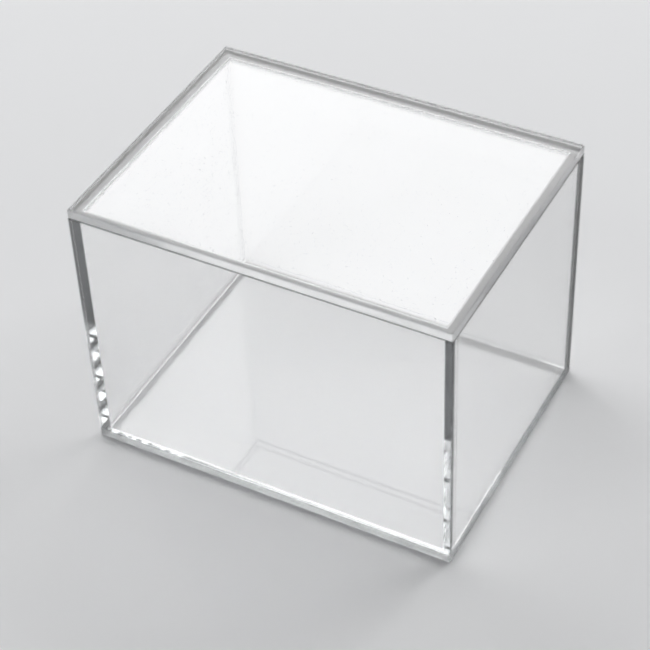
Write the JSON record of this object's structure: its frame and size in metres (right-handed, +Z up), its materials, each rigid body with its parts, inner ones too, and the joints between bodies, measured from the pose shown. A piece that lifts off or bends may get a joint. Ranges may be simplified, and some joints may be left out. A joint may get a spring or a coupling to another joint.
{
  "type": "clear acrylic box with lift-off lid",
  "caption": "Clear rectangular display box of cemented acrylic sheet with a flat lift-off lid that a thinner locating plate keeps centred inside the walls.",
  "frame": {"origin": "on the surface the box stands on, under the middle of the base plate", "axes": "+X along the length of the box, -Y out of the long front wall, +Z up through the lid"},
  "size_m": [0.2, 0.15, 0.15],
  "materials": {
    "base_acrylic": "polished",
    "wall_acrylic": "polished",
    "lid_acrylic": "polished"
  },
  "bodies": {
    "box": {"base_plate": "base_acrylic", "front_wall": "wall_acrylic", "back_wall": "wall_acrylic", "left_wall": "wall_acrylic", "right_wall": "wall_acrylic"},
    "lid": {"lid_plate": "lid_acrylic", "lid_locating_plate": "lid_acrylic"}
  },
  "joints": [
    {"name": "lid_lift", "type": "slide", "parent": "box", "child": "lid", "axis": [0, 0, 1], "range_m": [0, 0.06]}
  ]
}
